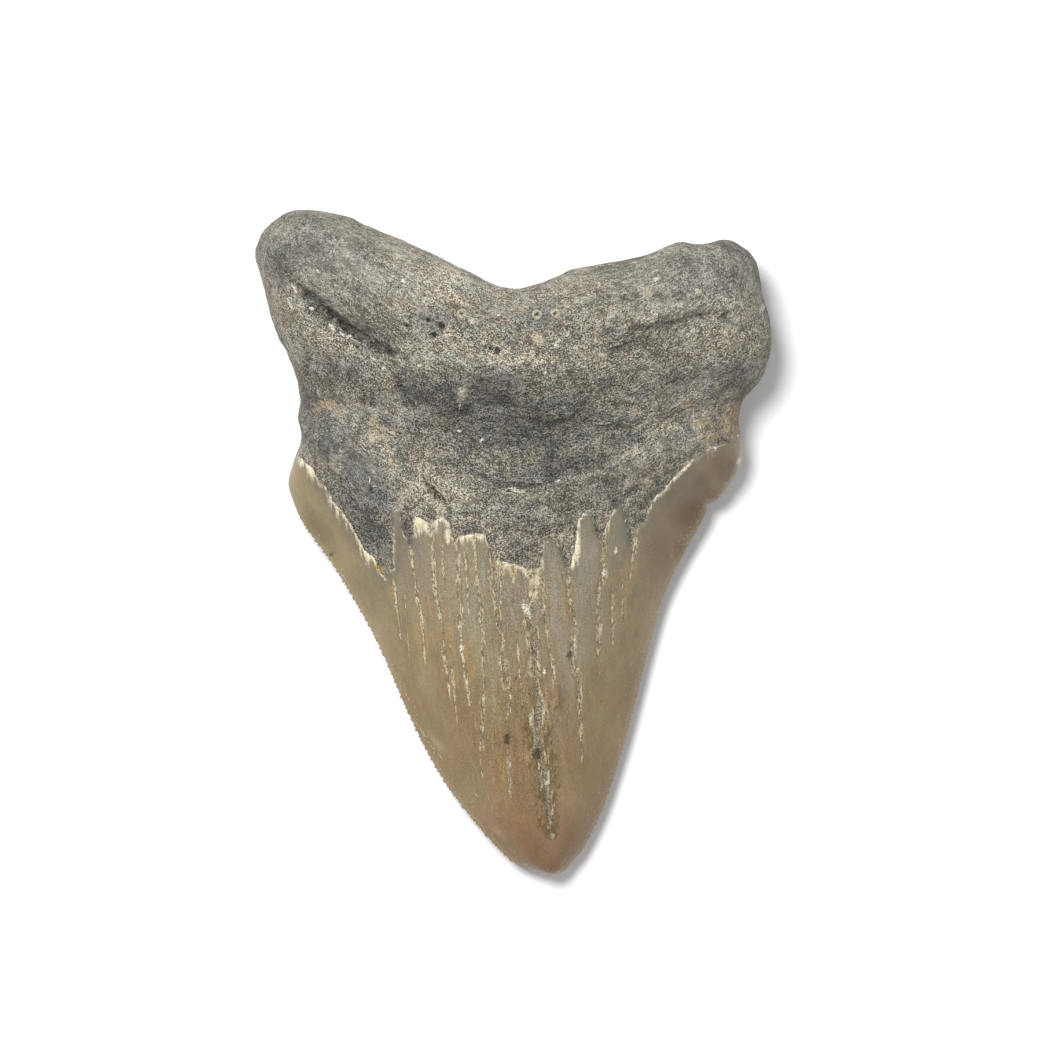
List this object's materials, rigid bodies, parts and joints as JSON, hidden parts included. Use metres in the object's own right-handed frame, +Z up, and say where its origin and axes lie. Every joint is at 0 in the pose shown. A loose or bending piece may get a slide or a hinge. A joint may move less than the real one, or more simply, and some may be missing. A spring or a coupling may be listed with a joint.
{
  "type": "fossil megalodon tooth",
  "caption": "Fossil shark tooth lying on its outer face: dark two-lobed root, olive enamel blade with fine serrated edges, ragged enamel border and long cracks.",
  "frame": {"origin": "on the table the tooth lies on, under the middle of its width and length", "axes": "+Z up out of the inner (bulging) face, +Y along the tooth from the tip to the root, +X across it, to the right as the picture shows it"},
  "size_m": [0.0688, 0.0888, 0.021],
  "materials": {
    "fossil": "dark matte root with pale speckle, satin olive enamel blade with cream crack fill"
  },
  "bodies": {
    "root": {"tooth": "fossil"}
  },
  "joints": []
}
